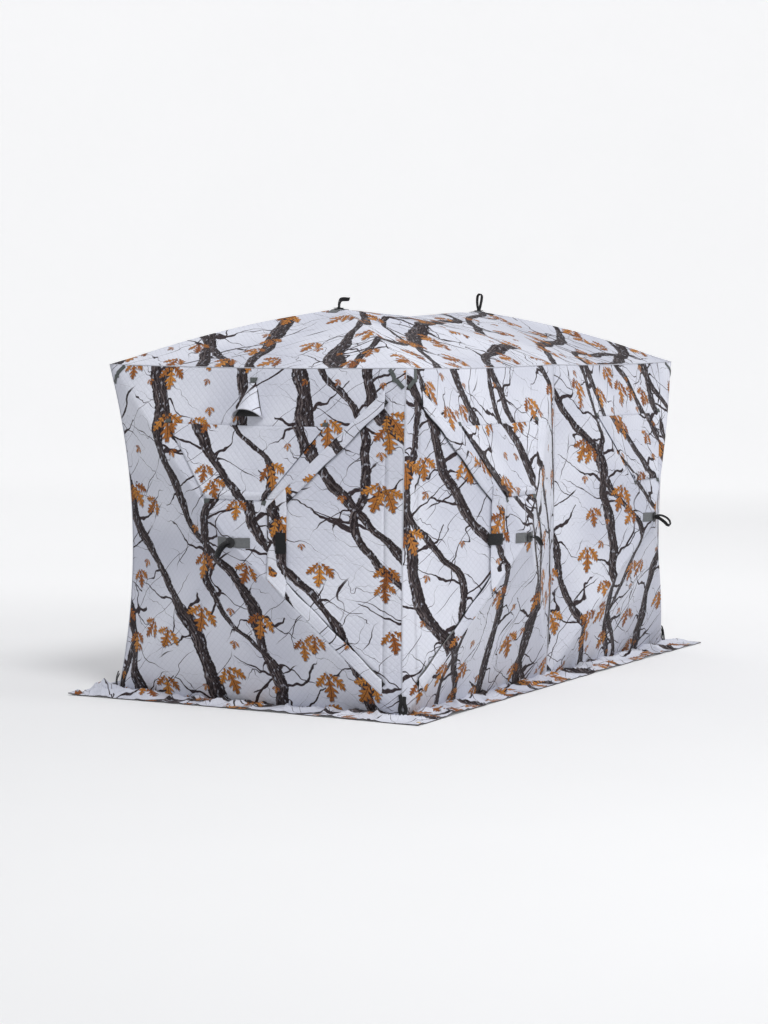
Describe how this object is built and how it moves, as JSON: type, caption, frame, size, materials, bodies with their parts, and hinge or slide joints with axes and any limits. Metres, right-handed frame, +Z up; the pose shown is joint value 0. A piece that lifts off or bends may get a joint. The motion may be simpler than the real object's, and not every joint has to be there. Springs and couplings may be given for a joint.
{
  "type": "pop up ground blind",
  "caption": "Hub-style pop up ground blind with quilted camouflage walls, doors, windows, vent hoods and a ground skirt.",
  "frame": {"origin": "centre of the floor, on the ground under the skirt", "axes": "+X along the length (the left end, with the first door, faces -X), the long front wall faces -Y, +Z up"},
  "size_m": [4.3024, 2.5884, 2.2625],
  "materials": {
    "camo_cloth": "quilted three-layer cloth, white ground with a printed bare-branch and oak-leaf pattern",
    "door_cloth": "quilted cloth, printed as the walls",
    "window_cloth": "single-layer cloth, printed as the walls",
    "clear_film": "clear flexible film",
    "zip_tape": "coil zip on woven tape",
    "black_webbing": "woven polypropylene webbing",
    "brass": "pressed eyelet",
    "hub_plastic": "moulded nylon with a webbing pull loop",
    "pole_fibreglass": "solid fibreglass rod"
  },
  "bodies": {
    "root": {"end_walls": "camo_cloth", "front_wall": "camo_cloth", "back_wall": "camo_cloth", "roof": "camo_cloth", "skirt": "camo_cloth", "skirt_eyelets": "brass", "corner_webbing": "black_webbing", "vent_hoods": "camo_cloth"},
    "left_end_hub": {"left_end_hub": "hub_plastic"},
    "left_end_pole_top_front": {"left_end_pole_top_front": "pole_fibreglass"},
    "left_end_pole_top_back": {"left_end_pole_top_back": "pole_fibreglass"},
    "left_end_pole_bottom_back": {"left_end_pole_bottom_back": "pole_fibreglass"},
    "left_end_pole_bottom_front": {"left_end_pole_bottom_front": "pole_fibreglass"},
    "right_end_hub": {"right_end_hub": "hub_plastic"},
    "right_end_pole_top_front": {"right_end_pole_top_front": "pole_fibreglass"},
    "right_end_pole_top_back": {"right_end_pole_top_back": "pole_fibreglass"},
    "right_end_pole_bottom_back": {"right_end_pole_bottom_back": "pole_fibreglass"},
    "right_end_pole_bottom_front": {"right_end_pole_bottom_front": "pole_fibreglass"},
    "front_left_hub": {"front_left_hub": "hub_plastic"},
    "front_left_pole_top_outer": {"front_left_pole_top_outer": "pole_fibreglass"},
    "front_left_pole_top_middle": {"front_left_pole_top_middle": "pole_fibreglass"},
    "front_left_pole_bottom_middle": {"front_left_pole_bottom_middle": "pole_fibreglass"},
    "front_left_pole_bottom_outer": {"front_left_pole_bottom_outer": "pole_fibreglass"},
    "front_right_hub": {"front_right_hub": "hub_plastic"},
    "front_right_pole_top_outer": {"front_right_pole_top_outer": "pole_fibreglass"},
    "front_right_pole_top_middle": {"front_right_pole_top_middle": "pole_fibreglass"},
    "front_right_pole_bottom_middle": {"front_right_pole_bottom_middle": "pole_fibreglass"},
    "front_right_pole_bottom_outer": {"front_right_pole_bottom_outer": "pole_fibreglass"},
    "back_left_hub": {"back_left_hub": "hub_plastic"},
    "back_left_pole_top_outer": {"back_left_pole_top_outer": "pole_fibreglass"},
    "back_left_pole_top_middle": {"back_left_pole_top_middle": "pole_fibreglass"},
    "back_left_pole_bottom_middle": {"back_left_pole_bottom_middle": "pole_fibreglass"},
    "back_left_pole_bottom_outer": {"back_left_pole_bottom_outer": "pole_fibreglass"},
    "back_right_hub": {"back_right_hub": "hub_plastic"},
    "back_right_pole_top_outer": {"back_right_pole_top_outer": "pole_fibreglass"},
    "back_right_pole_top_middle": {"back_right_pole_top_middle": "pole_fibreglass"},
    "back_right_pole_bottom_middle": {"back_right_pole_bottom_middle": "pole_fibreglass"},
    "back_right_pole_bottom_outer": {"back_right_pole_bottom_outer": "pole_fibreglass"},
    "roof_left_hub": {"roof_left_hub": "hub_plastic"},
    "roof_left_pole_front_outer": {"roof_left_pole_front_outer": "pole_fibreglass"},
    "roof_left_pole_front_middle": {"roof_left_pole_front_middle": "pole_fibreglass"},
    "roof_left_pole_back_middle": {"roof_left_pole_back_middle": "pole_fibreglass"},
    "roof_left_pole_back_outer": {"roof_left_pole_back_outer": "pole_fibreglass"},
    "roof_right_hub": {"roof_right_hub": "hub_plastic"},
    "roof_right_pole_front_outer": {"roof_right_pole_front_outer": "pole_fibreglass"},
    "roof_right_pole_front_middle": {"roof_right_pole_front_middle": "pole_fibreglass"},
    "roof_right_pole_back_middle": {"roof_right_pole_back_middle": "pole_fibreglass"},
    "roof_right_pole_back_outer": {"roof_right_pole_back_outer": "pole_fibreglass"},
    "left_end_window_pane": {"left_end_window_pane": "clear_film"},
    "left_end_window_flap": {"left_end_window_flap": "window_cloth"},
    "right_end_window_pane": {"right_end_window_pane": "clear_film"},
    "right_end_window_flap": {"right_end_window_flap": "window_cloth"},
    "front_left_window_pane": {"front_left_window_pane": "clear_film"},
    "front_left_window_flap": {"front_left_window_flap": "window_cloth"},
    "front_right_window_pane": {"front_right_window_pane": "clear_film"},
    "front_right_window_flap": {"front_right_window_flap": "window_cloth"},
    "end_door_zip": {"end_door_zip": "zip_tape"},
    "end_door_flap": {"end_door_flap": "door_cloth"},
    "front_door_zip": {"front_door_zip": "zip_tape"},
    "front_door_flap": {"front_door_flap": "door_cloth"}
  },
  "joints": [
    {"name": "left_end_pop", "type": "slide", "parent": "root", "child": "left_end_hub", "axis": [1, 0, 0], "range_m": [0, 0.486]},
    {"name": "left_end_pole_top_front_swing", "type": "hinge", "parent": "left_end_hub", "child": "left_end_pole_top_front", "pos_m": [-2.036, -0.0254, 0.93151], "axis": [0, -0.7086, -0.7056], "range_deg": [0, 22.95]},
    {"name": "left_end_pole_top_back_swing", "type": "hinge", "parent": "left_end_hub", "child": "left_end_pole_top_back", "pos_m": [-2.036, 0.0254, 0.93151], "axis": [0, -0.7086, 0.7056], "range_deg": [0, 22.95]},
    {"name": "left_end_pole_bottom_back_swing", "type": "hinge", "parent": "left_end_hub", "child": "left_end_pole_bottom_back", "pos_m": [-2.036, 0.02541, 0.8805], "axis": [0, 0.7083, 0.7059], "range_deg": [0, 23.63]},
    {"name": "left_end_pole_bottom_front_swing", "type": "hinge", "parent": "left_end_hub", "child": "left_end_pole_bottom_front", "pos_m": [-2.036, -0.02541, 0.8805], "axis": [0, 0.7083, -0.7059], "range_deg": [0, 23.63]},
    {"name": "right_end_pop", "type": "slide", "parent": "root", "child": "right_end_hub", "axis": [-1, 0, 0], "range_m": [0, 0.486]},
    {"name": "right_end_pole_top_front_swing", "type": "hinge", "parent": "right_end_hub", "child": "right_end_pole_top_front", "pos_m": [2.036, -0.0254, 0.93151], "axis": [0, 0.7086, 0.7056], "range_deg": [0, 22.95]},
    {"name": "right_end_pole_top_back_swing", "type": "hinge", "parent": "right_end_hub", "child": "right_end_pole_top_back", "pos_m": [2.036, 0.0254, 0.93151], "axis": [0, 0.7086, -0.7056], "range_deg": [0, 22.95]},
    {"name": "right_end_pole_bottom_back_swing", "type": "hinge", "parent": "right_end_hub", "child": "right_end_pole_bottom_back", "pos_m": [2.036, 0.02541, 0.8805], "axis": [0, -0.7083, -0.7059], "range_deg": [0, 23.63]},
    {"name": "right_end_pole_bottom_front_swing", "type": "hinge", "parent": "right_end_hub", "child": "right_end_pole_bottom_front", "pos_m": [2.036, -0.02541, 0.8805], "axis": [0, -0.7083, 0.7059], "range_deg": [0, 23.63]},
    {"name": "front_left_pop", "type": "slide", "parent": "root", "child": "front_left_hub", "axis": [0, 1, 0], "range_m": [0, 0.572]},
    {"name": "front_left_pole_top_outer_swing", "type": "hinge", "parent": "front_left_hub", "child": "front_left_pole_top_outer", "pos_m": [-0.9254, -1.179, 0.93151], "axis": [0.7086, 0, 0.7056], "range_deg": [0, 26.82]},
    {"name": "front_left_pole_top_middle_swing", "type": "hinge", "parent": "front_left_hub", "child": "front_left_pole_top_middle", "pos_m": [-0.87502, -1.179, 0.93192], "axis": [0.7201, 0, -0.6939], "range_deg": [0, 27.27]},
    {"name": "front_left_pole_bottom_middle_swing", "type": "hinge", "parent": "front_left_hub", "child": "front_left_pole_bottom_middle", "pos_m": [-0.87459, -1.179, 0.8805], "axis": [-0.7083, 0, -0.7059], "range_deg": [0, 27.59]},
    {"name": "front_left_pole_bottom_outer_swing", "type": "hinge", "parent": "front_left_hub", "child": "front_left_pole_bottom_outer", "pos_m": [-0.92541, -1.179, 0.8805], "axis": [-0.7083, 0, 0.7059], "range_deg": [0, 27.59]},
    {"name": "front_right_pop", "type": "slide", "parent": "root", "child": "front_right_hub", "axis": [0, 1, 0], "range_m": [0, 0.572]},
    {"name": "front_right_pole_top_outer_swing", "type": "hinge", "parent": "front_right_hub", "child": "front_right_pole_top_outer", "pos_m": [0.9254, -1.179, 0.93151], "axis": [0.7086, 0, -0.7056], "range_deg": [0, 26.82]},
    {"name": "front_right_pole_top_middle_swing", "type": "hinge", "parent": "front_right_hub", "child": "front_right_pole_top_middle", "pos_m": [0.87502, -1.179, 0.93192], "axis": [0.7201, 0, 0.6939], "range_deg": [0, 27.27]},
    {"name": "front_right_pole_bottom_middle_swing", "type": "hinge", "parent": "front_right_hub", "child": "front_right_pole_bottom_middle", "pos_m": [0.87459, -1.179, 0.8805], "axis": [-0.7083, 0, 0.7059], "range_deg": [0, 27.59]},
    {"name": "front_right_pole_bottom_outer_swing", "type": "hinge", "parent": "front_right_hub", "child": "front_right_pole_bottom_outer", "pos_m": [0.92541, -1.179, 0.8805], "axis": [-0.7083, 0, -0.7059], "range_deg": [0, 27.59]},
    {"name": "back_left_pop", "type": "slide", "parent": "root", "child": "back_left_hub", "axis": [0, -1, 0], "range_m": [0, 0.572]},
    {"name": "back_left_pole_top_outer_swing", "type": "hinge", "parent": "back_left_hub", "child": "back_left_pole_top_outer", "pos_m": [-0.9254, 1.179, 0.93151], "axis": [-0.7086, 0, -0.7056], "range_deg": [0, 26.82]},
    {"name": "back_left_pole_top_middle_swing", "type": "hinge", "parent": "back_left_hub", "child": "back_left_pole_top_middle", "pos_m": [-0.87502, 1.179, 0.93192], "axis": [-0.7201, 0, 0.6939], "range_deg": [0, 27.27]},
    {"name": "back_left_pole_bottom_middle_swing", "type": "hinge", "parent": "back_left_hub", "child": "back_left_pole_bottom_middle", "pos_m": [-0.87459, 1.179, 0.8805], "axis": [0.7083, 0, 0.7059], "range_deg": [0, 27.59]},
    {"name": "back_left_pole_bottom_outer_swing", "type": "hinge", "parent": "back_left_hub", "child": "back_left_pole_bottom_outer", "pos_m": [-0.92541, 1.179, 0.8805], "axis": [0.7083, 0, -0.7059], "range_deg": [0, 27.59]},
    {"name": "back_right_pop", "type": "slide", "parent": "root", "child": "back_right_hub", "axis": [0, -1, 0], "range_m": [0, 0.572]},
    {"name": "back_right_pole_top_outer_swing", "type": "hinge", "parent": "back_right_hub", "child": "back_right_pole_top_outer", "pos_m": [0.9254, 1.179, 0.93151], "axis": [-0.7086, 0, 0.7056], "range_deg": [0, 26.82]},
    {"name": "back_right_pole_top_middle_swing", "type": "hinge", "parent": "back_right_hub", "child": "back_right_pole_top_middle", "pos_m": [0.87502, 1.179, 0.93192], "axis": [-0.7201, 0, -0.6939], "range_deg": [0, 27.27]},
    {"name": "back_right_pole_bottom_middle_swing", "type": "hinge", "parent": "back_right_hub", "child": "back_right_pole_bottom_middle", "pos_m": [0.87459, 1.179, 0.8805], "axis": [0.7083, 0, -0.7059], "range_deg": [0, 27.59]},
    {"name": "back_right_pole_bottom_outer_swing", "type": "hinge", "parent": "back_right_hub", "child": "back_right_pole_bottom_outer", "pos_m": [0.92541, 1.179, 0.8805], "axis": [0.7083, 0, 0.7059], "range_deg": [0, 27.59]},
    {"name": "roof_left_pop", "type": "slide", "parent": "root", "child": "roof_left_hub", "axis": [0, 0, -1], "range_m": [0, 0.62]},
    {"name": "roof_left_pole_front_outer_swing", "type": "hinge", "parent": "roof_left_hub", "child": "roof_left_pole_front_outer", "pos_m": [-0.92546, -0.02546, 2.128], "axis": [-0.7071, 0.7071, 0], "range_deg": [0, 28.93]},
    {"name": "roof_left_pole_front_middle_swing", "type": "hinge", "parent": "roof_left_hub", "child": "roof_left_pole_front_middle", "pos_m": [-0.87496, -0.02587, 2.128], "axis": [-0.7186, -0.6954, 0], "range_deg": [0, 29.41]},
    {"name": "roof_left_pole_back_middle_swing", "type": "hinge", "parent": "roof_left_hub", "child": "roof_left_pole_back_middle", "pos_m": [-0.87496, 0.02587, 2.128], "axis": [0.7186, -0.6954, 0], "range_deg": [0, 29.41]},
    {"name": "roof_left_pole_back_outer_swing", "type": "hinge", "parent": "roof_left_hub", "child": "roof_left_pole_back_outer", "pos_m": [-0.92546, 0.02546, 2.128], "axis": [0.7071, 0.7071, 0], "range_deg": [0, 28.93]},
    {"name": "roof_right_pop", "type": "slide", "parent": "root", "child": "roof_right_hub", "axis": [0, 0, -1], "range_m": [0, 0.62]},
    {"name": "roof_right_pole_front_outer_swing", "type": "hinge", "parent": "roof_right_hub", "child": "roof_right_pole_front_outer", "pos_m": [0.92546, -0.02546, 2.128], "axis": [-0.7071, -0.7071, 0], "range_deg": [0, 28.93]},
    {"name": "roof_right_pole_front_middle_swing", "type": "hinge", "parent": "roof_right_hub", "child": "roof_right_pole_front_middle", "pos_m": [0.87496, -0.02587, 2.128], "axis": [-0.7186, 0.6954, 0], "range_deg": [0, 29.41]},
    {"name": "roof_right_pole_back_middle_swing", "type": "hinge", "parent": "roof_right_hub", "child": "roof_right_pole_back_middle", "pos_m": [0.87496, 0.02587, 2.128], "axis": [0.7186, 0.6954, 0], "range_deg": [0, 29.41]},
    {"name": "roof_right_pole_back_outer_swing", "type": "hinge", "parent": "roof_right_hub", "child": "roof_right_pole_back_outer", "pos_m": [0.92546, 0.02546, 2.128], "axis": [0.7071, -0.7071, 0], "range_deg": [0, 28.93]},
    {"name": "left_end_window_tilt", "type": "hinge", "parent": "root", "child": "left_end_window_pane", "pos_m": [-1.83, 0, 1.84], "axis": [0, -1, 0], "range_deg": [0, 29.56]},
    {"name": "left_end_window_flap_fold", "type": "hinge", "parent": "left_end_window_pane", "child": "left_end_window_flap", "pos_m": [-2.00238, 0, 1.13054], "axis": [0, -1, 0], "range_deg": [0, 140]},
    {"name": "right_end_window_tilt", "type": "hinge", "parent": "root", "child": "right_end_window_pane", "pos_m": [1.83, 0, 1.84], "axis": [0, 1, 0], "range_deg": [0, 29.56]},
    {"name": "right_end_window_flap_fold", "type": "hinge", "parent": "right_end_window_pane", "child": "right_end_window_flap", "pos_m": [2.00238, 0, 1.13054], "axis": [0, 1, 0], "range_deg": [0, 140]},
    {"name": "front_left_window_tilt", "type": "hinge", "parent": "root", "child": "front_left_window_pane", "pos_m": [-0.915, -0.93, 1.84], "axis": [1, 0, 0], "range_deg": [0, 34.45]},
    {"name": "front_left_window_flap_fold", "type": "hinge", "parent": "front_left_window_pane", "child": "front_left_window_flap", "pos_m": [-0.90368, -1.13485, 1.13054], "axis": [1, 0, 0], "range_deg": [0, 140]},
    {"name": "front_right_window_tilt", "type": "hinge", "parent": "root", "child": "front_right_window_pane", "pos_m": [0.915, -0.93, 1.84], "axis": [1, 0, 0], "range_deg": [0, 34.45]},
    {"name": "front_right_window_flap_fold", "type": "hinge", "parent": "front_right_window_pane", "child": "front_right_window_flap", "pos_m": [0.90368, -1.13485, 1.13054], "axis": [1, 0, 0], "range_deg": [0, 140]},
    {"name": "end_door_tilt", "type": "hinge", "parent": "root", "child": "end_door_zip", "pos_m": [-1.815, -0.915, 0.9215], "axis": [0.0163, 0.0163, -0.9997], "range_deg": [0, 30.15]},
    {"name": "end_door_swing", "type": "hinge", "parent": "end_door_zip", "child": "end_door_flap", "pos_m": [-1.84237, -0.81433, 0.91844], "axis": [-0.0163, -0.0163, 0.9997], "range_deg": [0, 110]},
    {"name": "front_door_tilt", "type": "hinge", "parent": "root", "child": "front_door_zip", "pos_m": [-1.815, -0.915, 0.9215], "axis": [-0.0163, -0.0163, 0.9997], "range_deg": [0, 35.12]},
    {"name": "front_door_swing", "type": "hinge", "parent": "front_door_zip", "child": "front_door_flap", "pos_m": [-1.71433, -0.9471, 0.9185], "axis": [0.0163, 0.0163, -0.9997], "range_deg": [0, 110]}
  ],
  "couplings": [
    {"joint": "left_end_pole_top_front_swing", "follows": "left_end_pop", "rad_per_m": 0.80969},
    {"joint": "left_end_pole_top_back_swing", "follows": "left_end_pop", "rad_per_m": 0.80969},
    {"joint": "left_end_pole_bottom_back_swing", "follows": "left_end_pop", "rad_per_m": 0.8344},
    {"joint": "left_end_pole_bottom_front_swing", "follows": "left_end_pop", "rad_per_m": 0.8344},
    {"joint": "right_end_pole_top_front_swing", "follows": "right_end_pop", "rad_per_m": 0.80969},
    {"joint": "right_end_pole_top_back_swing", "follows": "right_end_pop", "rad_per_m": 0.80969},
    {"joint": "right_end_pole_bottom_back_swing", "follows": "right_end_pop", "rad_per_m": 0.8344},
    {"joint": "right_end_pole_bottom_front_swing", "follows": "right_end_pop", "rad_per_m": 0.8344},
    {"joint": "front_left_pole_top_outer_swing", "follows": "front_left_pop", "rad_per_m": 0.80607},
    {"joint": "front_left_pole_top_middle_swing", "follows": "front_left_pop", "rad_per_m": 0.81973},
    {"joint": "front_left_pole_bottom_middle_swing", "follows": "front_left_pop", "rad_per_m": 0.8297},
    {"joint": "front_left_pole_bottom_outer_swing", "follows": "front_left_pop", "rad_per_m": 0.8297},
    {"joint": "front_right_pole_top_outer_swing", "follows": "front_right_pop", "rad_per_m": 0.80607},
    {"joint": "front_right_pole_top_middle_swing", "follows": "front_right_pop", "rad_per_m": 0.81973},
    {"joint": "front_right_pole_bottom_middle_swing", "follows": "front_right_pop", "rad_per_m": 0.8297},
    {"joint": "front_right_pole_bottom_outer_swing", "follows": "front_right_pop", "rad_per_m": 0.8297},
    {"joint": "back_left_pole_top_outer_swing", "follows": "back_left_pop", "rad_per_m": 0.80607},
    {"joint": "back_left_pole_top_middle_swing", "follows": "back_left_pop", "rad_per_m": 0.81973},
    {"joint": "back_left_pole_bottom_middle_swing", "follows": "back_left_pop", "rad_per_m": 0.8297},
    {"joint": "back_left_pole_bottom_outer_swing", "follows": "back_left_pop", "rad_per_m": 0.8297},
    {"joint": "back_right_pole_top_outer_swing", "follows": "back_right_pop", "rad_per_m": 0.80607},
    {"joint": "back_right_pole_top_middle_swing", "follows": "back_right_pop", "rad_per_m": 0.81973},
    {"joint": "back_right_pole_bottom_middle_swing", "follows": "back_right_pop", "rad_per_m": 0.8297},
    {"joint": "back_right_pole_bottom_outer_swing", "follows": "back_right_pop", "rad_per_m": 0.8297},
    {"joint": "roof_left_pole_front_outer_swing", "follows": "roof_left_pop", "rad_per_m": 0.80318},
    {"joint": "roof_left_pole_front_middle_swing", "follows": "roof_left_pop", "rad_per_m": 0.81669},
    {"joint": "roof_left_pole_back_middle_swing", "follows": "roof_left_pop", "rad_per_m": 0.81669},
    {"joint": "roof_left_pole_back_outer_swing", "follows": "roof_left_pop", "rad_per_m": 0.80318},
    {"joint": "roof_right_pole_front_outer_swing", "follows": "roof_right_pop", "rad_per_m": 0.80318},
    {"joint": "roof_right_pole_front_middle_swing", "follows": "roof_right_pop", "rad_per_m": 0.81669},
    {"joint": "roof_right_pole_back_middle_swing", "follows": "roof_right_pop", "rad_per_m": 0.81669},
    {"joint": "roof_right_pole_back_outer_swing", "follows": "roof_right_pop", "rad_per_m": 0.80318},
    {"joint": "left_end_window_tilt", "follows": "left_end_pop", "rad_per_m": 1.0474},
    {"joint": "right_end_window_tilt", "follows": "right_end_pop", "rad_per_m": 1.0474},
    {"joint": "front_left_window_tilt", "follows": "front_left_pop", "rad_per_m": 1.0389},
    {"joint": "front_right_window_tilt", "follows": "front_right_pop", "rad_per_m": 1.0389},
    {"joint": "end_door_tilt", "follows": "left_end_pop", "rad_per_m": 1.0685},
    {"joint": "front_door_tilt", "follows": "front_left_pop", "rad_per_m": 1.0595}
  ]
}
